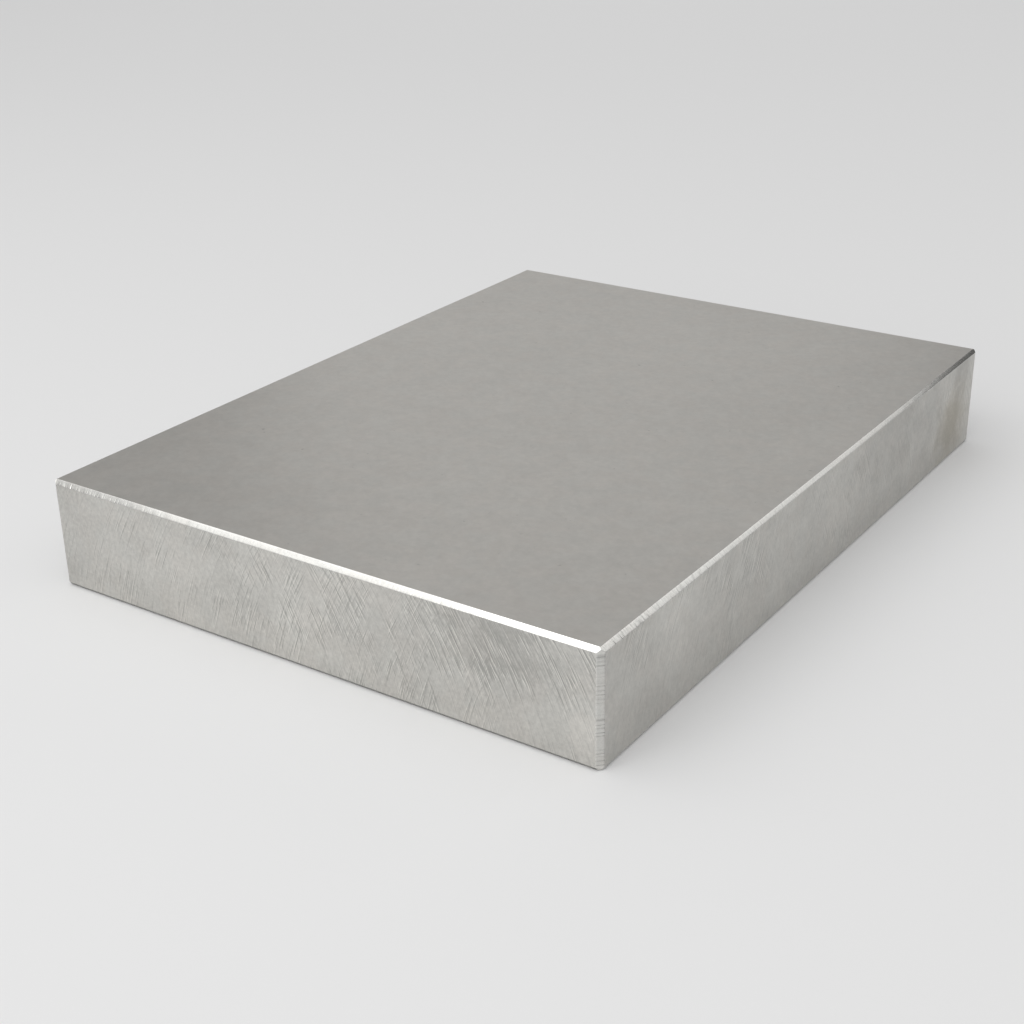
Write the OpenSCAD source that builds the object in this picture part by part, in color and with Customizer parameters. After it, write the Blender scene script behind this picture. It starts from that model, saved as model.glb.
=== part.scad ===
// Flat rectangular aluminium plate, cut to size and machined on all six faces.
// It lies flat with its broad face on z = 0, centred on the Z axis, its long edges along Y.
// Every edge is broken by a flat 45 degree chamfer. The chamfers run straight into one another,
// so at each corner three of them meet in a point with no facet added.

/* [Plate] */
// Length of the plate, along Y
plate_length = 220; // [60:1:400]
// Width of the plate, along X
plate_width = 165; // [60:1:400]
// Thickness of the plate, along Z
plate_thickness = 30; // [8:1:80]

/* [Edge breaks] */
// Leg of the chamfer round the top face
top_chamfer = 1.1; // [0.2:0.1:3]
// Leg of the chamfer round the bottom face
bottom_chamfer = 0.7; // [0.2:0.1:3]
// Leg of the chamfer down each of the four upright corners
corner_chamfer = 1.4; // [0.2:0.1:3]

/* [Hidden] */

satin_aluminium = [0.66, 0.66, 0.64];

// A width by height outline standing on the X axis, with its lower corners cut back by low
// and its upper corners by high.
module cut_corner_outline(width, height, low, high) {
    half = width / 2;
    polygon([
        [-half + low, 0], [half - low, 0],
        [half, low], [half, height - high],
        [half - high, height], [-half + high, height],
        [-half, height - high], [-half, low]
    ]);
}

// The plate as seen from above: its long and short edges and the four upright corner chamfers.
module plan() {
    translate([0, -plate_length / 2, 0])
        linear_extrude(height = plate_thickness)
            cut_corner_outline(plate_width, plate_length, corner_chamfer, corner_chamfer);
}

// The plate's thickness profile over an edge-to-edge width, run along Y for a given length.
module thickness_run(width, length) {
    translate([0, length / 2, 0])
        rotate([90, 0, 0])
            linear_extrude(height = length)
                cut_corner_outline(width, plate_thickness, bottom_chamfer, top_chamfer);
}

// The three profiles cut one another: the plan trims the corners, and one thickness run along
// each direction trims the edges of the top and bottom faces.
module plate() {
    color(satin_aluminium)
        intersection() {
            plan();
            thickness_run(plate_width, plate_length);
            rotate([0, 0, 90]) thickness_run(plate_length, plate_width);
        }
}

plate();
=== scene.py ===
"""A thick aluminium plate: satin faces, face-milled edges and bright-cut edge breaks.

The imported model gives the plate's box and its edge breaks. The piece made here stands for
the plain solid and adds what the cutters and the file left on it.
"""

import math
from collections import namedtuple

import bmesh
import bpy
from bpy.props import FloatProperty, FloatVectorProperty, PointerProperty
from mathutils import Matrix, Vector, noise


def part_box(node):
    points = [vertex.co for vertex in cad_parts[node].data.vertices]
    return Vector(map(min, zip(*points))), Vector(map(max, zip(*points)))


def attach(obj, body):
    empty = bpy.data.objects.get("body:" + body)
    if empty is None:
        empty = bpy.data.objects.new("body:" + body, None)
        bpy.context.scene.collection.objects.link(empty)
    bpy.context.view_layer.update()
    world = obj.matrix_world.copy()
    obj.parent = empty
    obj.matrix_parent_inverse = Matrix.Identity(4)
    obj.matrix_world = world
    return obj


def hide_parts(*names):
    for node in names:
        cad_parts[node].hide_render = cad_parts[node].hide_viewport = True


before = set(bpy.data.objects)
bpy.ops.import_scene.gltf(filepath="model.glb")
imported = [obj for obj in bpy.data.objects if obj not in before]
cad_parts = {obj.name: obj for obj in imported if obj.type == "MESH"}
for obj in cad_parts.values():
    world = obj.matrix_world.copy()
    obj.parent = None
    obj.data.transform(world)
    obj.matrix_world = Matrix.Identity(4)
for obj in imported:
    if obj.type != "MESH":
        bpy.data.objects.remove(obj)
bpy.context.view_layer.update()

bl_info = {
    "name": "Aluminium plate",
    "version": (1, 0, 0),
    "blender": (4, 5, 0),
    "location": "View3D > Sidebar > Plate",
    "description": "Milled aluminium plate with bright-cut edge breaks, on a pale studio floor",
    "category": "Add Mesh",
}

CAD_NODE = "plate"
BODY = "root"

PLATE_LOW, PLATE_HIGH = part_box(CAD_NODE)
PLATE_MIDDLE = (PLATE_LOW + PLATE_HIGH) / 2

UP = Vector((0, 0, 1))
FRONT = Vector((0, -1, 0))
RIGHT = Vector((1, 0, 0))
BACK = Vector((0, 1, 0))
LEFT = Vector((-1, 0, 0))
SIDES = (FRONT, RIGHT, BACK, LEFT)

MILLIMETRE = 0.001
SAME_PLACE = 1e-6
SAME_DIRECTION = 0.9999
# The mark attribute holds the file marks, and on the underside's edge breaks also painted shade.
MARK_AND_SHADE_ATTRIBUTE = "file_mark"
# The border attribute holds painted light: a painted highlight along a break's border with its first face,
# and a painted shade line along its border with the second.
PAINTED_BORDER_LIGHT_ATTRIBUTE = "border_shine"

# Material slots: faces that look along X, Y and Z, and then the edge breaks, whose divided faces
# are all smaller than a large face.
FINISH_BY_AXIS = (2, 1, 0)
BREAK_FINISH = 3
LARGE_FACE = (5 * MILLIMETRE) ** 2

# The skin laid flat on a square map, for the export: how much of the map's width a metre of a
# broad face and of a worked edge takes, and the gap between parts. A part looks outward, goes
# along a second direction and has a scale, the run that it covers, if any, and its mesh faces.
SKIN_MAP = "OFBake"
BROAD_SCALE = 2.05
EDGE_SCALE = 4.48
MAP_GAP = 0.002
Part = namedtuple("Part", "outward along scale run faces")

# A run is one edge break. It lies between two faces, whose outward directions are first and
# second, and goes along a third. It has a leg, a share of the full marks, how coarse the marks
# and its second border are, from 0 to 1, and a stretch at its start where the marks are strong.
Run = namedtuple("Run", "first second along leg marked coarse stretch")

# File marks. Some of them last all along a run, and they are further apart on a level run than on
# an upright one. They begin and are full so far from either end of a run, as a taper does from its
# start. An underside's edge breaks are dull all over, and painted darker as shade where they face
# the floor under the plate. Specks and pits have so many features to the metre, and a seed keeps
# one kind of mark apart from another.
LASTING_BITE = 0.06
LEVEL_PITCH = 1.3
MARKS_BEGIN = (1.1 * MILLIMETRE, 1.5 * MILLIMETRE)
TAPER_BEGINS = (20 * MILLIMETRE, 60 * MILLIMETRE)
UNDERSIDE_DULLNESS_AND_SHADE = 1.35
SPECK_DENSITY = 2.2 / MILLIMETRE
PIT_DENSITY = 1.1 / MILLIMETRE
TOOTH_SEED = 20
WAVE_SEED = 30
STRAY_SEED = 40
GROUP_SEED = 50

# Patches on the milled edges: where the cutter bit or slipped, and an old stain. Each has a
# centre, a radius, a change of tone, the share of the strokes that shows inside it, and the
# strength of the stain.
Patch = namedtuple("Patch", "centre radius tone strokes stain")


def on_front(along, height):
    """A place on the front edge, so far right of its middle and above the underside."""
    return along, PLATE_LOW.y, PLATE_LOW.z + height


def on_right(along, height):
    """A place on the right edge, so far behind its middle and above the underside."""
    return PLATE_HIGH.x, along, PLATE_LOW.z + height


SHORT_EDGE_PATCHES = (
    Patch(on_front(0.056, 0.029), 0.023, -0.75, 1.6, 0.0),
    Patch(on_front(0.081, 0.009), 0.016, 0.40, 0.2, 0.0),
    Patch(on_front(0.000, 0.028), 0.034, 0.30, 1.0, 0.0),
    Patch(on_front(-0.047, 0.024), 0.030, 0.24, 1.0, 0.0),
    Patch(on_front(-0.081, 0.003), 0.010, -0.40, 1.0, 0.0),
)
LONG_EDGE_PATCHES = (
    Patch(on_right(0.093, 0.011), 0.018, -1.00, 1.0, 1.0),
    Patch(on_right(0.098, 0.027), 0.012, -0.60, 1.0, 0.0),
    Patch(on_right(0.075, 0.018), 0.016, -0.40, 0.2, 0.0),
    Patch(on_right(0.050, 0.036), 0.040, -0.60, 0.2, 0.0),
    Patch(on_right(-0.078, 0.027), 0.020, 0.40, 1.0, 0.0),
    Patch(on_right(-0.090, 0.031), 0.030, 0.0, 5.0, 0.0),
    Patch(on_right(-0.048, 0.031), 0.030, 0.0, 7.0, 0.0),
)

# The finishes of the milled edges: the axes along, out of and up an edge, how bright its metal is,
# how strong its strokes and its grain are, and its patches.
MilledEdge = namedtuple("MilledEdge", "name axes brightness strokes grain patches")
SHORT_EDGE = MilledEdge("short_edge", "XYZ", 0.95, 1.0, 0.85, SHORT_EDGE_PATCHES)
LONG_EDGE = MilledEdge("long_edge", "YXZ", 0.9, 0.42, 0.58, LONG_EDGE_PATCHES)

# Where the two sweeps of the face mill show, in metres from an edge's middle. Each pair gives the
# place where a sweep has its fewest strokes and the place where it has its most.
FALLING_STROKES_GROW = (-0.046, 0.024)
RISING_STROKES_GROW = (-0.065, -0.015)
RISING_STROKES_FADE = (0.075, 0.010)

# Heights of the fine relief: the tooth of the broad faces, the strokes on the milled edges and
# the grain of the edge breaks.
TOOTH_RELIEF = 0.006 * MILLIMETRE
STROKE_RELIEF = 0.005 * MILLIMETRE
GRAIN_RELIEF = 0.005 * MILLIMETRE

# Casts over a metal's colour: the two that mix in clouds, and that of an old stain.
COOL_CAST = (0.995, 1.0, 1.0, 1.0)
WARM_CAST = (1.0, 0.996, 0.992, 1.0)
STAIN_CAST = (1.0, 0.955, 0.87, 1.0)

# Lamps: the compass turn, right of straight behind the plate, and the height in degrees, then the
# distance and size in metres, and the setting that holds the power.
Panel = namedtuple("Panel", "name turn height distance size power")
PANELS = (
    Panel("front_panel", 170, 36, 1.3, (1.9, 1.2), "front"),
    Panel("key_softbox", -135, 49.3, 0.8, (0.77, 0.425), "key"),
    Panel("back_panel", -30, 21, 1.5, (0.85, 0.4), "back"),
    Panel("rim_panel", 33.9, 25.15, 1.2, (0.5, 0.31), "rim"),
)
FLOOR_RADIUS = 6.0
FLOOR_GAP = 0.02 * MILLIMETRE

# How high the backdrop shows in metal, as the sines of the heights where it ends and is full.
BACKDROP_TOP = math.sin(math.radians(11))
BACKDROP_FULL = math.sin(math.radians(7))


# ---------------------------------------------------------------- settings


class PlateEdgeSettings(bpy.types.PropertyGroup):
    """How the edge breaks were cut and filed"""

    rounding: FloatProperty(
        name="Edge rounding",
        description="Radius left on the borders of each edge break",
        default=0.04 * MILLIMETRE,
        unit="LENGTH",
        precision=6,
    )
    step: FloatProperty(
        name="Mark step",
        description="Distance between mesh points along an edge break",
        default=0.12 * MILLIMETRE,
        unit="LENGTH",
        precision=6,
    )
    pitch: FloatProperty(
        name="Chatter pitch",
        description="Distance from one file mark to the next on an upright edge break",
        default=0.85 * MILLIMETRE,
        unit="LENGTH",
        precision=6,
    )
    depth: FloatProperty(
        name="Chatter depth",
        description="Depth of the strongest file marks",
        default=0.012 * MILLIMETRE,
        unit="LENGTH",
        precision=6,
    )
    width: FloatProperty(
        name="Chatter width",
        description="Half the width of one file mark",
        default=0.15 * MILLIMETRE,
        unit="LENGTH",
        precision=6,
    )
    wander: FloatProperty(
        name="Border wander",
        description="How far the lower border of an edge break strays from a straight line",
        default=0.22 * MILLIMETRE,
        unit="LENGTH",
        precision=6,
    )
    taper: FloatProperty(
        name="Taper",
        description="How much smaller the legs of the long top edge breaks get beyond their start",
        default=0.20 * MILLIMETRE,
        unit="LENGTH",
        precision=6,
    )
    corner: FloatProperty(
        name="Corner break",
        description="The most that a bottom corner is cut back along the three edges that met there",
        default=2.4 * MILLIMETRE,
        unit="LENGTH",
        precision=6,
    )


class PlateFinishSettings(bpy.types.PropertyGroup):
    """Colours and cutter sizes of the metal's finishes"""

    metal: FloatVectorProperty(
        name="Metal",
        description="Colour of the clean aluminium",
        default=(0.64, 0.62, 0.585),
        subtype="COLOR",
        min=0.0,
        max=1.0,
    )
    break_metal: FloatVectorProperty(
        name="Cut metal",
        description="Colour of the aluminium on the edge breaks",
        default=(0.627, 0.620, 0.594),
        subtype="COLOR",
        min=0.0,
        max=1.0,
    )
    edge_metal: FloatVectorProperty(
        name="Milled metal",
        description="Colour of the aluminium on the milled edges",
        default=(0.632, 0.620, 0.589),
        subtype="COLOR",
        min=0.0,
        max=1.0,
    )
    face_roughness: FloatProperty(
        name="Face roughness",
        description="Roughness of the two broad faces",
        default=0.36,
        min=0.0,
        max=1.0,
        subtype="FACTOR",
    )
    edge_roughness: FloatProperty(
        name="Edge roughness",
        description="Roughness of the four milled edges",
        default=0.40,
        min=0.0,
        max=1.0,
        subtype="FACTOR",
    )
    break_roughness: FloatProperty(
        name="Edge break roughness",
        description="Roughness of the bright-cut edge breaks",
        default=0.12,
        min=0.0,
        max=1.0,
        subtype="FACTOR",
    )
    cutter_radius: FloatProperty(
        name="Cutter radius",
        description="Radius of the face mill that swept the short edges",
        default=113 * MILLIMETRE,
        unit="LENGTH",
    )
    cutter_drop: FloatProperty(
        name="Cutter drop",
        description="Depth of the face mill's axis below the plate's underside",
        default=32 * MILLIMETRE,
        unit="LENGTH",
    )


class StudioSettings(bpy.types.PropertyGroup):
    """Floor, lamps and surroundings"""

    floor: FloatVectorProperty(
        name="Floor",
        description="Colour of the floor",
        default=(0.80, 0.80, 0.80),
        subtype="COLOR",
        min=0.0,
        max=1.0,
    )
    backdrop: FloatVectorProperty(
        name="Backdrop",
        description="Colour seen behind the floor",
        default=(0.66, 0.66, 0.66),
        subtype="COLOR",
        min=0.0,
        max=1.0,
    )
    room: FloatProperty(
        name="Room light",
        description="Strength of the light that comes from all round",
        default=0.048,
        min=0.0,
    )
    room_lean: FloatVectorProperty(
        name="Room lean",
        description="How much stronger the room's light gets towards the right, the back and the ceiling",
        default=(-0.076, -0.255, 0.983),
        subtype="XYZ",
    )
    front: FloatProperty(
        name="Front panel", description="Power of the panel in front", default=6.41, unit="POWER"
    )
    key: FloatProperty(
        name="Key softbox", description="Power of the softbox at the front left", default=0.560, unit="POWER"
    )
    back: FloatProperty(
        name="Back panel", description="Power of the panel behind on the left", default=0.456, unit="POWER"
    )
    rim: FloatProperty(
        name="Rim panel", description="Power of the panel behind on the right", default=0.368, unit="POWER"
    )


class ViewSettings(bpy.types.PropertyGroup):
    """Where the camera stands"""

    lens: FloatProperty(
        name="Lens", description="Focal length on a 36 mm sensor", default=58.11, unit="CAMERA"
    )
    azimuth: FloatProperty(
        name="Azimuth",
        description="Turn of the camera round the plate, from straight in front towards the right",
        default=math.radians(34.523),
        unit="ROTATION",
    )
    elevation: FloatProperty(
        name="Elevation",
        description="Height of the camera above the horizon",
        default=math.radians(24.805),
        unit="ROTATION",
    )
    roll: FloatProperty(
        name="Roll",
        description="Turn of the camera about its own line of sight",
        default=math.radians(-1.026),
        unit="ROTATION",
    )
    distance: FloatProperty(
        name="Distance", description="From the camera to its aim point", default=0.4370, unit="LENGTH"
    )
    aim: FloatVectorProperty(
        name="Aim",
        description="Aim point, from the middle of the plate",
        default=(0.0105, -0.0370, 0.0),
        subtype="TRANSLATION",
        unit="LENGTH",
    )


# ---------------------------------------------------------------- shape


def edge_break_legs():
    """Legs of the top, bottom and upright edge breaks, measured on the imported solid."""
    corners = [v.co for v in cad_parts[CAD_NODE].data.vertices]
    top_reach = max(c.x for c in corners if c.z > PLATE_HIGH.z - SAME_PLACE)
    bottom_reach = max(c.x for c in corners if c.z < PLATE_LOW.z + SAME_PLACE)
    side_reach = max(c.y for c in corners if c.x > PLATE_HIGH.x - SAME_PLACE)
    return PLATE_HIGH.x - top_reach, PLATE_HIGH.x - bottom_reach, PLATE_HIGH.y - side_reach


def edge_runs():
    """The twelve edge breaks, each from where the cutter came in."""
    top_leg, bottom_leg, upright_leg = edge_break_legs()
    runs = []
    for number, side in enumerate(SIDES):
        next_side = SIDES[(number + 1) % len(SIDES)]
        coarse = 1.0 if side.x == 0 else 0.35
        stretch = (22 if side.x == 0 else 80) * MILLIMETRE
        runs.append(Run(UP, side, UP.cross(side), top_leg, 1.0, coarse, stretch))
        runs.append(Run(-UP, side, UP.cross(side), bottom_leg, 0.3, coarse, 28 * MILLIMETRE))
        runs.append(Run(side, next_side, -UP, upright_leg, 1.0, 0.1, 8 * MILLIMETRE))
    return runs


def reach(direction):
    """How far the plate's box reaches along one of the axis directions."""
    corner = [h if d > 0 else l for l, h, d in zip(PLATE_LOW, PLATE_HIGH, direction)]
    return direction.dot(Vector(corner))


def cut_off(bm, point, outward):
    """Cuts away what lies beyond a plane and closes the cut."""
    everything = bm.verts[:] + bm.edges[:] + bm.faces[:]
    cut = bmesh.ops.bisect_plane(
        bm,
        geom=everything,
        dist=SAME_PLACE,
        plane_co=point,
        plane_no=outward,
        clear_outer=True,
    )
    rim = [part for part in cut["geom_cut"] if isinstance(part, bmesh.types.BMEdge)]
    bmesh.ops.edgeloop_fill(bm, edges=rim)


def chamfered_block(runs, corner_break):
    """A block of the plate's size with its twelve edge breaks cut and its bottom corners broken."""
    bm = bmesh.new()
    bmesh.ops.create_cube(bm, size=1.0)
    bmesh.ops.scale(bm, vec=PLATE_HIGH - PLATE_LOW, verts=bm.verts)
    bmesh.ops.translate(bm, vec=PLATE_MIDDLE, verts=bm.verts)
    for run in runs:
        on_edge = run.first * reach(run.first) + run.second * reach(run.second)
        cut_off(bm, on_edge - run.second * run.leg, (run.first + run.second).normalized())
    for number, side in enumerate(SIDES):
        next_side = SIDES[(number + 1) % len(SIDES)]
        corner = side * reach(side) + next_side * reach(next_side) - UP * reach(-UP)
        # No two corners are worn alike.
        cut_back = corner_break * (0.75 + 0.08 * number)
        cut_off(bm, corner - side * cut_back, (side + next_side - UP).normalized())
    bmesh.ops.remove_doubles(bm, verts=bm.verts, dist=SAME_PLACE)
    return bm


def is_upright(run):
    """True if a run goes down a corner of the plate."""
    return run.along == -UP


def beside_run(run, point, room):
    """True if a point lies on a run's edge break or within some room of it."""
    below_first = reach(run.first) - run.first.dot(point)
    below_second = reach(run.second) - run.second.dot(point)
    return max(below_first, below_second) < run.leg + room


def long_edges(bm, run, room):
    """The mesh edges that go the whole length of a run."""
    half = abs(run.along.dot(PLATE_HIGH - PLATE_LOW)) / 2
    found = []
    for edge in bm.edges:
        span = edge.verts[1].co - edge.verts[0].co
        if abs(span.dot(run.along)) > half and all(beside_run(run, v.co, room) for v in edge.verts):
            found.append(edge)
    return found


def square_ends(face, along):
    """Splits the pointed ends off an edge break, so that its long middle has four corners."""
    borders = sorted(face.edges, key=lambda edge: edge.calc_length())[-2:]
    for end in (1, -1):
        pair = [max(border.verts, key=lambda v: end * v.co.dot(along)) for border in borders]
        if any(set(edge.verts) == set(pair) for edge in face.edges):
            continue
        tip, _ = bmesh.utils.face_split(face, *pair)
        if borders[0] in tip.edges and borders[1] in tip.edges:
            face = tip


def divide_run(bm, run, settings):
    """Divides an edge break finely along its length and in four across it."""
    outward = (run.first + run.second).normalized()
    length = abs(run.along.dot(PLATE_HIGH - PLATE_LOW))
    lines = long_edges(bm, run, 4 * settings.rounding)
    for face in bm.faces[:]:
        on_break = face.normal.dot(outward) > SAME_DIRECTION
        if on_break and sum(edge in lines for edge in face.edges) == 2:
            square_ends(face, run.along)
    # The marks hardly show on the underside's edge breaks, so those get longer steps.
    step = settings.step if run.marked > 0.5 else 4 * settings.step
    bmesh.ops.subdivide_edges(bm, edges=lines, cuts=int(length / step))
    rungs = []
    for edge in bm.edges:
        span = edge.verts[1].co - edge.verts[0].co
        goes_across = abs(span.dot(run.along)) < 0.2 * step and span.length > 1.2 * run.leg
        if goes_across and all(beside_run(run, v.co, settings.rounding) for v in edge.verts):
            rungs.append(edge)
    bmesh.ops.subdivide_edges(bm, edges=rungs, cuts=3)


def smooth_step(low, high, value):
    """0 below low, 1 above high and a smooth change between."""
    share = min(max((value - low) / (high - low), 0.0), 1.0)
    return share * share * (3 - 2 * share)


def ripple(place, size, seed):
    """Smooth noise along a line, about -1 to 1, with features of one size."""
    return 1.6 * noise.noise(Vector((place / size, seed, 0.5 * seed)))


def file_mark(distance, pitch, width, seed):
    """Strength, 0 to 1, of the file mark at a distance along a run. Marks come about a pitch apart."""
    count = distance / pitch + 0.4 * ripple(distance, 1.7 * pitch, seed)
    away = (count - round(count)) * pitch
    own = 0.7 + 1.1 * noise.noise(Vector((round(count) * 3.7, seed, 9.1)))
    return math.exp(-((away / width) ** 2)) * min(max(own, 0.0), 1.0)


def bite(run, distance):
    """How hard the file bit: the share that lasts all along a run, and the share at a distance."""
    fading = math.exp(-((distance / run.stretch) ** 2))
    if is_upright(run):
        return LASTING_BITE, LASTING_BITE + 0.45 * fading
    lasting = LASTING_BITE * run.coarse**2
    return lasting, lasting + (0.5 + 0.1 * run.coarse) * fading


def narrowing(run, distance, across, taper):
    """The move outwards that makes a long top edge break narrower beyond its start."""
    outwards = run.first * (1 + across) / 2 + run.second * (1 - across) / 2
    return outwards * taper * smooth_step(*TAPER_BEGINS, distance)


def border_rag(run, distance, pitch, number, lasting, hard):
    """How far the border with a run's second face strays from straight, as a share of the wander."""
    tooth = max(0.0, ripple(distance, 0.5 * pitch, number + TOOTH_SEED))
    wave = ripple(distance, 2.2 * pitch, number + WAVE_SEED)
    return hard * (0.7 * run.coarse * tooth + 0.35 * wave) + lasting * wave


def stray_marks(distance, pitch, width, number):
    """Strength, 0 to 1, of the marks that come in groups all the way down an upright run."""
    strength = 0.75 + 1.1 * ripple(distance, 5 * pitch, number + GROUP_SEED)
    return file_mark(distance, 1.2 * pitch, width, number + STRAY_SEED) * min(max(strength, 0.0), 0.95)


def mark_point(vert, run, number, settings, marks, painted_border_light):
    """Moves one point of a run to where the cutter and the file left it, and gives it its marks, painted
    border light and painted underside shade.
    """
    length = reach(run.along) + reach(-run.along)
    distance = vert.co.dot(run.along) + reach(-run.along)
    below_first = reach(run.first) - run.first.dot(vert.co)
    below_second = reach(run.second) - run.second.dot(vert.co)
    across = (below_first - below_second) / run.leg
    on_top = run.first == UP
    underneath = run.first == -UP
    upright = is_upright(run)
    if on_top and run.second.x != 0:
        vert.co += narrowing(run, distance, across, settings.taper)
    ends = smooth_step(*MARKS_BEGIN, min(distance, length - distance))
    if ends == 0.0:
        return
    lasting, hard = (run.marked * ends * share for share in bite(run, distance))
    pitch = settings.pitch * (1.0 if upright else LEVEL_PITCH)
    mark = file_mark(distance, pitch, settings.width, number)
    if not upright:
        speck = max(0.0, noise.noise(vert.co * SPECK_DENSITY))
        mark = 0.6 * run.coarse**1.5 * mark + (1.7 - 0.9 * run.coarse) * speck
    mark *= hard
    # Border points get painted light: lighter on the border with the first face as a painted highlight,
    # darker on the border with the second face as a painted shade line.
    if abs(across) > 1 - 3 * settings.rounding / run.leg:
        vert[painted_border_light] = -math.copysign(run.marked * ends, across)
        if across > 0:
            rag = border_rag(run, distance, pitch, number, lasting, hard)
            if underneath:
                rag += 0.5 * run.coarse * ends
            vert.co -= run.first * settings.wander * rag
    else:
        pit = 0.5 * noise.noise(vert.co * PIT_DENSITY) * hard
        deep = settings.depth * (1 - 0.65 * run.coarse) * (mark + pit)
        vert.co -= (run.first + run.second).normalized() * deep
    if upright:
        strays = stray_marks(distance, pitch, settings.width, number)
        mark = max(mark, strays * ends) + 0.2 * ends
    # Underneath, the mark is a dull finish and also painted shade, darker where the plate meets the floor.
    if underneath:
        mark = UNDERSIDE_DULLNESS_AND_SHADE * run.coarse**1.4
    vert[marks] = max(vert[marks], mark)


def skin_parts(bm, runs, room):
    """The skin in parts, one to a face of the box or a run, each with the mesh faces that it holds."""
    flats = [Part(side, BACK, BROAD_SCALE, None, []) for side in (UP, -UP)]
    flats += [Part(side, UP.cross(side), EDGE_SCALE, None, []) for side in SIDES]
    breaks = []
    for run in sorted(runs, key=lambda run: abs(run.along.z)):
        outward = (run.first + run.second).normalized()
        breaks.append(Part(outward, run.along, EDGE_SCALE, run, []))
    for face in bm.faces:
        near = []
        if face.material_index == BREAK_FINISH:
            middle = face.calc_center_median()
            near = [part for part in breaks if beside_run(part.run, middle, room)]
        chosen = max(near or flats, key=lambda part: face.normal.dot(part.outward))
        chosen.faces.append(face)
    return flats + breaks


def lay_skin_flat(bm, parts):
    """Lays each part of the skin straight on its map, part after part and row above row."""
    flat_places = bm.loops.layers.uv.new(SKIN_MAP)
    corner = Vector((MAP_GAP, MAP_GAP))
    row_height = 0.0
    for part in parts:
        up = part.outward.cross(part.along)
        loops = [loop for face in part.faces for loop in face.loops]
        spots = [Vector((part.along.dot(loop.vert.co), up.dot(loop.vert.co))) for loop in loops]
        low = Vector([min(spot[axis] for spot in spots) for axis in (0, 1)])
        size = Vector([max(spot[axis] for spot in spots) for axis in (0, 1)]) - low
        size *= part.scale
        if corner.x + size.x > 1 - MAP_GAP:
            corner = Vector((MAP_GAP, corner.y + row_height + MAP_GAP))
            row_height = 0.0
        for loop, spot in zip(loops, spots):
            loop[flat_places].uv = corner + (spot - low) * part.scale
        corner.x += size.x + MAP_GAP
        row_height = max(row_height, size.y)


def make_milled_plate(settings):
    """The whole plate as one closed mesh."""
    runs = edge_runs()
    bm = chamfered_block(runs, settings.corner)
    bmesh.ops.bevel(
        bm,
        geom=bm.edges[:],
        offset=settings.rounding,
        offset_type="OFFSET",
        segments=2,
        profile=0.5,
        affect="EDGES",
        material=-1,
    )
    for run in runs:
        divide_run(bm, run, settings)
    for face in bm.faces:
        large = face.calc_area() > LARGE_FACE
        normal = [abs(part) for part in face.normal]
        face.material_index = FINISH_BY_AXIS[normal.index(max(normal))] if large else BREAK_FINISH
        shortest = min(edge.calc_length() for edge in face.edges)
        face.smooth = shortest < 1.2 * settings.rounding
    marks = bm.verts.layers.float.new(MARK_AND_SHADE_ATTRIBUTE)
    painted_border_light = bm.verts.layers.float.new(PAINTED_BORDER_LIGHT_ATTRIBUTE)
    for number, run in enumerate(runs):
        for vert in bm.verts:
            if beside_run(run, vert.co, 2 * settings.rounding):
                mark_point(vert, run, number, settings, marks, painted_border_light)
    bm.normal_update()
    lay_skin_flat(bm, skin_parts(bm, runs, 2 * settings.rounding))
    mesh = bpy.data.meshes.new("milled_plate")
    bm.to_mesh(mesh)
    bm.free()
    return mesh


# ---------------------------------------------------------------- finishes


def feed(tree, socket, value):
    """Links a socket to another, or sets its value."""
    if isinstance(value, bpy.types.NodeSocket):
        tree.links.new(value, socket)
    else:
        socket.default_value = value


def node(tree, kind, inputs=None, **settings):
    """Adds a node with its settings and inputs."""
    made = tree.nodes.new(kind)
    for name, value in settings.items():
        setattr(made, name, value)
    for name, value in (inputs or {}).items():
        feed(tree, made.inputs[name], value)
    return made


def maths(tree, operation, first, second=0.0, third=0.0):
    """The result of a Math node."""
    made = node(tree, "ShaderNodeMath", {0: first, 1: second, 2: third}, operation=operation)
    return made.outputs[0]


def between(tree, value, low, high):
    """A value's place between two limits, as a smooth share from 0 to 1."""
    inputs = {"Value": value, "From Min": low, "From Max": high}
    made = node(tree, "ShaderNodeMapRange", inputs, interpolation_type="SMOOTHSTEP")
    return made.outputs["Result"]


def mixed(tree, share, first, second):
    """Two colours mixed by a share."""
    made = node(tree, "ShaderNodeMix", data_type="RGBA")
    feed(tree, made.inputs[0], share)
    feed(tree, made.inputs[6], first)
    feed(tree, made.inputs[7], second)
    return made.outputs[2]


def pattern(tree, places, stretch, detail=2.0, roughness=0.5, shift=(0, 0, 0)):
    """Noise with so many features to the metre along each axis."""
    mapped = node(tree, "ShaderNodeMapping", {"Vector": places, "Scale": stretch, "Location": shift})
    inputs = {"Vector": mapped.outputs[0], "Scale": 1.0, "Detail": detail, "Roughness": roughness}
    return node(tree, "ShaderNodeTexNoise", inputs).outputs["Fac"]


def centred(tree, value, amount):
    """A 0 to 1 pattern turned into one that swings by an amount to either side of 0."""
    return maths(tree, "MULTIPLY_ADD", value, 2 * amount, -amount)


def toned(colour, factor):
    """A colour made lighter or darker, for a colour socket."""
    return (*(min(1.0, c * factor) for c in colour), 1.0)


def new_metal(name):
    """A material with a metallic shader: its node tree, its shader and its places."""
    material = bpy.data.materials.new(name)
    material.use_nodes = True
    tree = material.node_tree
    shader = tree.nodes["Principled BSDF"]
    shader.inputs["Metallic"].default_value = 1.0
    return material, tree, shader, node(tree, "ShaderNodeTexCoord").outputs["Object"]


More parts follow.
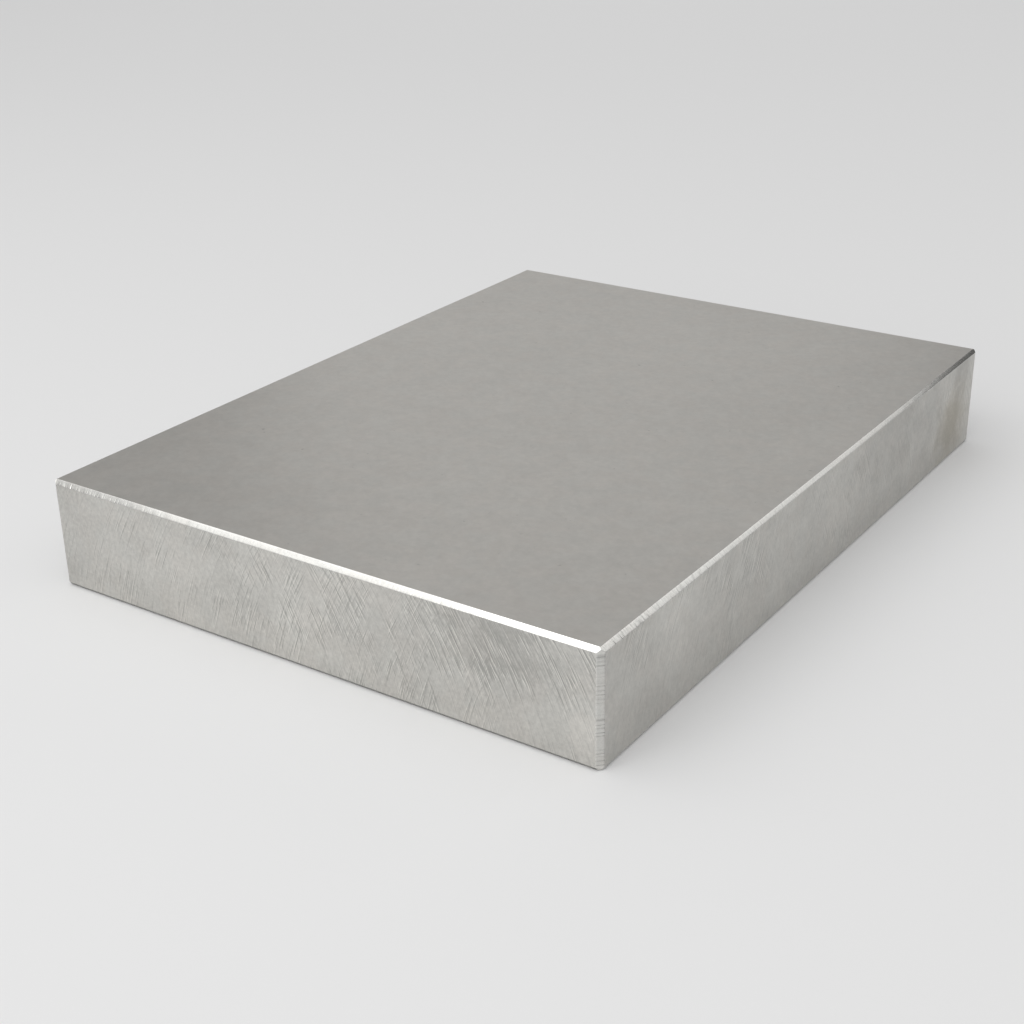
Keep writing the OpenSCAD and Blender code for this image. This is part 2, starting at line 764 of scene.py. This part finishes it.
def dress_metal(tree, shader, places, colour, tone, rough, relief, swing=0.30, stain=0.0):
    """Colours a metal by its tone, -1 to 1, and gives it roughness and a relief in metres."""
    share = maths(tree, "MULTIPLY_ADD", tone, 0.5, 0.5)
    shade = mixed(tree, share, toned(colour, 1 - swing), toned(colour, 1 + swing))
    warmth = between(tree, pattern(tree, places, (140, 140, 140), 2.0, shift=(3, 5, 7)), 0.4, 0.6)
    cast = mixed(tree, stain, mixed(tree, warmth, COOL_CAST, WARM_CAST), STAIN_CAST)
    tint = node(tree, "ShaderNodeMix", data_type="RGBA", blend_type="MULTIPLY")
    feed(tree, tint.inputs[0], 1.0)
    feed(tree, tint.inputs[6], shade)
    feed(tree, tint.inputs[7], cast)
    feed(tree, shader.inputs["Base Color"], tint.outputs[2])
    feed(tree, shader.inputs["Roughness"], rough)
    bump = node(tree, "ShaderNodeBump", {"Height": relief, "Strength": 1.0, "Distance": 1.0})
    feed(tree, shader.inputs["Normal"], bump.outputs[0])


def satin_face_finish(finish):
    """Broad faces: an even satin with faint clouds and a fine tooth."""
    material, tree, shader, places = new_metal("satin_face")
    clouds = centred(tree, pattern(tree, places, (24, 20, 24), 3.0, 0.55), 0.18)
    mottle = centred(tree, pattern(tree, places, (130, 130, 130), 4.0, 0.65), 0.22)
    tooth = centred(tree, pattern(tree, places, (480, 480, 480), 4.0, 0.65), 0.36)
    specks = between(tree, pattern(tree, places, (520, 520, 520), 1.0, shift=(7, 1, 4)), 0.76, 0.86)
    tone = maths(tree, "ADD", maths(tree, "ADD", clouds, mottle), tooth)
    tone = maths(tree, "MULTIPLY_ADD", specks, -0.8, tone)
    rough = maths(tree, "MULTIPLY_ADD", mottle, 0.12, finish.face_roughness)
    relief = maths(tree, "MULTIPLY", tooth, TOOTH_RELIEF)
    dress_metal(tree, shader, places, finish.metal, tone, rough, relief)
    return material


def sweep_places(tree, run, height, finish, leaning, seed):
    """Places measured across and along the arcs that a face mill sweeps."""
    above_axis = maths(tree, "ADD", height, finish.cutter_drop)
    square = maths(tree, "MULTIPLY", above_axis, above_axis)
    chord = maths(tree, "SQRT", maths(tree, "SUBTRACT", finish.cutter_radius**2, square))
    sweep = maths(tree, leaning, run, chord)
    return node(tree, "ShaderNodeCombineXYZ", {"X": sweep, "Y": above_axis, "Z": seed}).outputs[0]


def soft_spot(tree, places, centre, radius):
    """A round patch with a frayed border: 1 in its middle and 0 outside its radius."""
    away = node(tree, "ShaderNodeVectorMath", {0: places, 1: centre}, operation="DISTANCE").outputs["Value"]
    frayed = centred(tree, pattern(tree, places, (160, 160, 160), 2.0), 0.4 * radius)
    return between(tree, maths(tree, "ADD", away, frayed), radius, 0.0)


def scratches(tree, places, across, along, rarity):
    """Separate scratches, so many to the metre: -1 in a groove, above 0 on the burr beside it."""
    grooves = pattern(tree, places, (across, along, 1), 1.0, 0.4)
    burrs = pattern(tree, places, (across, along, 1), 1.0, 0.4, shift=(0.45, 0.1, 0))
    groove = between(tree, grooves, rarity, rarity + 0.08)
    burr = between(tree, burrs, rarity, rarity + 0.10)
    return maths(tree, "MULTIPLY_ADD", burr, 0.7, maths(tree, "MULTIPLY", groove, -1.0))


def sweep_scratches(tree, places, share):
    """Hairlines, scratches and a few deep ones along one direction of sweep."""
    hairs = centred(tree, pattern(tree, places, (2400, 260, 1), 1.5, 0.6), 1.1)
    fine = scratches(tree, places, 2100, 130, 0.58)
    deep = scratches(tree, places, 2100, 70, 0.63)
    all_fine = maths(tree, "MULTIPLY_ADD", fine, 1.3, hairs)
    return maths(tree, "MULTIPLY", maths(tree, "MULTIPLY_ADD", deep, 2.0, all_fine), share)


def crossed_strokes(tree, places, axes, finish):
    """What a face mill leaves in two sweeps: strokes that fall to the right, and rising ones."""
    parts = node(tree, "ShaderNodeSeparateXYZ", {"Vector": places}).outputs
    run, out, height = (parts[axis] for axis in axes)
    strayed = centred(tree, pattern(tree, places, (70, 70, 70), 2.0), 0.05)
    strayed = maths(tree, "ADD", run, strayed)
    clusters = between(tree, pattern(tree, places, (110, 110, 80), 3.0, shift=(2, 6, 1)), 0.38, 0.64)
    clusters = maths(tree, "MULTIPLY_ADD", clusters, 1.5, 0.25)
    upper = maths(tree, "MULTIPLY_ADD", between(tree, height, 0.001, 0.016), 0.65, 0.35)
    falling = maths(tree, "MULTIPLY", between(tree, strayed, *FALLING_STROKES_GROW), clusters)
    rising = maths(tree, "MULTIPLY_ADD", between(tree, strayed, *RISING_STROKES_GROW), 0.22, 0.34)
    rising = maths(tree, "MULTIPLY", rising, between(tree, strayed, *RISING_STROKES_FADE))
    # The place out of the edge is part of the seed, so that opposite edges get strokes of their own.
    fall_seed = maths(tree, "MULTIPLY_ADD", out, 40, 8)
    rise_seed = maths(tree, "MULTIPLY_ADD", out, 40, 13)
    fall_places = sweep_places(tree, run, height, finish, "SUBTRACT", fall_seed)
    rise_places = sweep_places(tree, run, height, finish, "ADD", rise_seed)
    falls = sweep_scratches(tree, fall_places, maths(tree, "MULTIPLY", falling, upper))
    rises = sweep_scratches(tree, rise_places, maths(tree, "MULTIPLY", clusters, rising))
    return maths(tree, "ADD", falls, rises)


def milled_edge_finish(edge, finish):
    """Milled edges: crossed arcs of fine scratches over a soft grey."""
    material, tree, shader, places = new_metal(edge.name)
    strokes = maths(tree, "MULTIPLY", crossed_strokes(tree, places, edge.axes, finish), edge.strokes)
    grain = centred(tree, pattern(tree, places, (1000, 1000, 850), 3.0, 0.65), edge.grain)
    clouds = centred(tree, pattern(tree, places, (60, 60, 110), 4.0, 0.6), 0.5)
    ground = maths(tree, "ADD", grain, clouds)
    stain = 0.0
    for patch in edge.patches:
        spot = soft_spot(tree, places, patch.centre, patch.radius)
        shown = maths(tree, "MULTIPLY_ADD", spot, patch.strokes - 1.0, 1.0)
        strokes = maths(tree, "MULTIPLY", strokes, shown)
        ground = maths(tree, "MULTIPLY_ADD", spot, patch.tone, ground)
        stain = maths(tree, "MULTIPLY_ADD", spot, patch.stain, stain)
    tone = maths(tree, "MULTIPLY_ADD", strokes, 0.8, ground)
    rough = maths(tree, "MULTIPLY_ADD", strokes, 0.04, finish.edge_roughness)
    relief = maths(tree, "MULTIPLY", maths(tree, "MULTIPLY_ADD", grain, 0.6, strokes), STROKE_RELIEF)
    colour = [part * edge.brightness for part in finish.edge_metal]
    dress_metal(tree, shader, places, colour, tone, rough, relief, stain=stain)
    return material


def bright_cut_finish(finish):
    """Edge breaks: bright where the cutter ran clean, grey and rough in the file marks, with a painted
    highlight and a painted dark line on their borders, and painted shade on the underside's breaks.
    """
    material, tree, shader, places = new_metal("bright_cut")
    # The mark holds the file marks, and on the underside's breaks also painted shade.
    mark = node(tree, "ShaderNodeAttribute", attribute_name=MARK_AND_SHADE_ATTRIBUTE).outputs["Fac"]
    border = node(tree, "ShaderNodeAttribute", attribute_name=PAINTED_BORDER_LIGHT_ATTRIBUTE).outputs["Fac"]
    speckle = pattern(tree, places, (1300, 1300, 1300), 2.0, 0.6)
    clouds = centred(tree, pattern(tree, places, (120, 120, 120), 2.0), 0.3)
    tone = maths(tree, "MULTIPLY_ADD", mark, -0.93, 0.23)
    tone = maths(tree, "ADD", centred(tree, speckle, 0.33), tone)
    # Painted light on the borders: a painted highlight on one border and a painted dark line on the other.
    sharp = maths(tree, "MULTIPLY", border, maths(tree, "ABSOLUTE", border))
    tone = maths(tree, "MULTIPLY_ADD", sharp, 0.4, tone)
    rough = maths(tree, "MULTIPLY_ADD", mark, 0.3, finish.break_roughness)
    rough = maths(tree, "MULTIPLY_ADD", clouds, 0.06, rough)
    coarse_grain = maths(tree, "MULTIPLY", speckle, maths(tree, "MULTIPLY_ADD", mark, 0.8, 0.2))
    relief = maths(tree, "MULTIPLY", coarse_grain, GRAIN_RELIEF)
    dress_metal(tree, shader, places, finish.break_metal, tone, rough, relief, swing=0.45)
    return material


# ---------------------------------------------------------------- studio


def floor_finish(studio):
    """Pale matt floor."""
    material = bpy.data.materials.new("studio_floor")
    material.use_nodes = True
    shader = material.node_tree.nodes["Principled BSDF"]
    shader.inputs["Base Color"].default_value = (*studio.floor, 1.0)
    shader.inputs["Roughness"].default_value = 0.9
    shader.inputs["Specular IOR Level"].default_value = 0.1
    return material


def add_floor(studio):
    """A wide round floor just under the plate."""
    bm = bmesh.new()
    bmesh.ops.create_circle(bm, cap_ends=True, segments=96, radius=FLOOR_RADIUS)
    bmesh.ops.translate(bm, vec=(0, 0, PLATE_LOW.z - FLOOR_GAP), verts=bm.verts)
    mesh = bpy.data.meshes.new("studio_floor")
    bm.to_mesh(mesh)
    bm.free()
    floor = bpy.data.objects.new("studio_floor", mesh)
    bpy.context.scene.collection.objects.link(floor)
    mesh.materials.append(floor_finish(studio))


def compass_direction(turn, height):
    """Unit vector towards a turn right of straight behind the plate and a height, in radians."""
    flat = math.cos(height)
    return Vector((math.sin(turn) * flat, math.cos(turn) * flat, math.sin(height)))


def add_panel(panel, power):
    """A rectangular lamp that faces the plate and doesn't show to the camera."""
    light = bpy.data.lights.new(panel.name, "AREA")
    light.shape = "RECTANGLE"
    light.size, light.size_y = panel.size
    light.energy = power
    lamp = bpy.data.objects.new(panel.name, light)
    towards = compass_direction(math.radians(panel.turn), math.radians(panel.height))
    lamp.location = PLATE_MIDDLE + towards * panel.distance
    lamp.rotation_euler = towards.to_track_quat("Z", "Y").to_euler()
    lamp.visible_camera = False
    bpy.context.scene.collection.objects.link(lamp)


def light_the_room(studio):
    """Soft light from all round, stronger on some sides, and a plain backdrop.

    The camera sees the backdrop everywhere, and metal shows it low behind the floor.
    """
    world = bpy.data.worlds.new("studio_room")
    bpy.context.scene.world = world
    world.use_nodes = True
    tree = world.node_tree
    tree.nodes.clear()
    towards = node(tree, "ShaderNodeTexCoord").outputs["Generated"]
    lean = node(tree, "ShaderNodeVectorMath", {0: towards, 1: studio.room_lean}, operation="DOT_PRODUCT")
    strength = maths(tree, "MAXIMUM", maths(tree, "ADD", lean.outputs["Value"], studio.room), 0.0)
    height = node(tree, "ShaderNodeSeparateXYZ", {"Vector": towards}).outputs["Z"]
    low = between(tree, height, BACKDROP_TOP, BACKDROP_FULL)
    rays = node(tree, "ShaderNodeLightPath").outputs
    mirrored = maths(tree, "MAXIMUM", rays["Is Glossy Ray"], rays["Is Transmission Ray"])
    seen = maths(tree, "MAXIMUM", rays["Is Camera Ray"], maths(tree, "MULTIPLY", mirrored, low))
    room = node(tree, "ShaderNodeBackground", {"Color": (1, 1, 1, 1), "Strength": strength})
    backdrop = node(tree, "ShaderNodeBackground", {"Color": (*studio.backdrop, 1), "Strength": 1.0})
    both = node(tree, "ShaderNodeMixShader", {0: seen, 1: room.outputs[0], 2: backdrop.outputs[0]})
    node(tree, "ShaderNodeOutputWorld", {"Surface": both.outputs[0]})


def place_camera(view):
    """The camera, aimed at a point near the plate's middle."""
    camera_data = bpy.data.cameras.new("camera")
    camera_data.sensor_width = 36.0
    camera_data.lens = view.lens
    camera_data.clip_start = 0.01
    camera_data.clip_end = 50.0
    camera = bpy.data.objects.new("camera", camera_data)
    backwards = compass_direction(math.pi - view.azimuth, view.elevation)
    right = -backwards.cross(UP).normalized()
    above = backwards.cross(right)
    turned_right = right * math.cos(view.roll) + above * math.sin(view.roll)
    turned_above = backwards.cross(turned_right)
    camera.matrix_world = Matrix((turned_right, turned_above, backwards)).transposed().to_4x4()
    camera.location = PLATE_MIDDLE + Vector(view.aim) + backwards * view.distance
    bpy.context.scene.collection.objects.link(camera)
    bpy.context.scene.camera = camera
    bpy.context.scene.view_settings.view_transform = "Standard"


# ---------------------------------------------------------------- operators


class PLATE_OT_milled_plate(bpy.types.Operator):
    """Makes the plate with its edge breaks and finishes"""

    bl_idname = "plate.milled_plate"
    bl_label = "Milled plate"

    def execute(self, context):
        scene = context.scene
        finish = scene.plate_finish
        mesh = make_milled_plate(scene.plate_edges)
        mesh.materials.append(satin_face_finish(finish))
        mesh.materials.append(milled_edge_finish(SHORT_EDGE, finish))
        mesh.materials.append(milled_edge_finish(LONG_EDGE, finish))
        mesh.materials.append(bright_cut_finish(finish))
        plate = bpy.data.objects.new("milled_plate", mesh)
        scene.collection.objects.link(plate)
        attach(plate, BODY)
        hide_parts(CAD_NODE)
        return {"FINISHED"}


class PLATE_OT_studio(bpy.types.Operator):
    """Makes the floor, the lamps and the surroundings"""

    bl_idname = "plate.studio"
    bl_label = "Studio"

    def execute(self, context):
        studio = context.scene.plate_studio
        add_floor(studio)
        light_the_room(studio)
        for panel in PANELS:
            add_panel(panel, getattr(studio, panel.power))
        return {"FINISHED"}


class PLATE_OT_camera(bpy.types.Operator):
    """Places the camera"""

    bl_idname = "plate.camera"
    bl_label = "Camera"

    def execute(self, context):
        place_camera(context.scene.plate_view)
        return {"FINISHED"}


class PLATE_PT_sidebar(bpy.types.Panel):
    """Lists the plate's operators"""

    bl_idname = "PLATE_PT_sidebar"
    bl_label = "Aluminium plate"
    bl_space_type = "VIEW_3D"
    bl_region_type = "UI"
    bl_category = "Plate"

    def draw(self, context):
        for operator in OPERATORS:
            self.layout.operator(operator.bl_idname)


SETTINGS = {
    "plate_edges": PlateEdgeSettings,
    "plate_finish": PlateFinishSettings,
    "plate_studio": StudioSettings,
    "plate_view": ViewSettings,
}
OPERATORS = (PLATE_OT_milled_plate, PLATE_OT_studio, PLATE_OT_camera)
CLASSES = (*SETTINGS.values(), *OPERATORS, PLATE_PT_sidebar)


def register():
    for made in CLASSES:
        bpy.utils.register_class(made)
    for name, kind in SETTINGS.items():
        setattr(bpy.types.Scene, name, PointerProperty(type=kind))


def unregister():
    for name in SETTINGS:
        delattr(bpy.types.Scene, name)
    for made in reversed(CLASSES):
        bpy.utils.unregister_class(made)


def main():
    register()
    bpy.ops.plate.milled_plate()
    bpy.ops.plate.studio()
    bpy.ops.plate.camera()


if __name__ == "__main__":
    main()
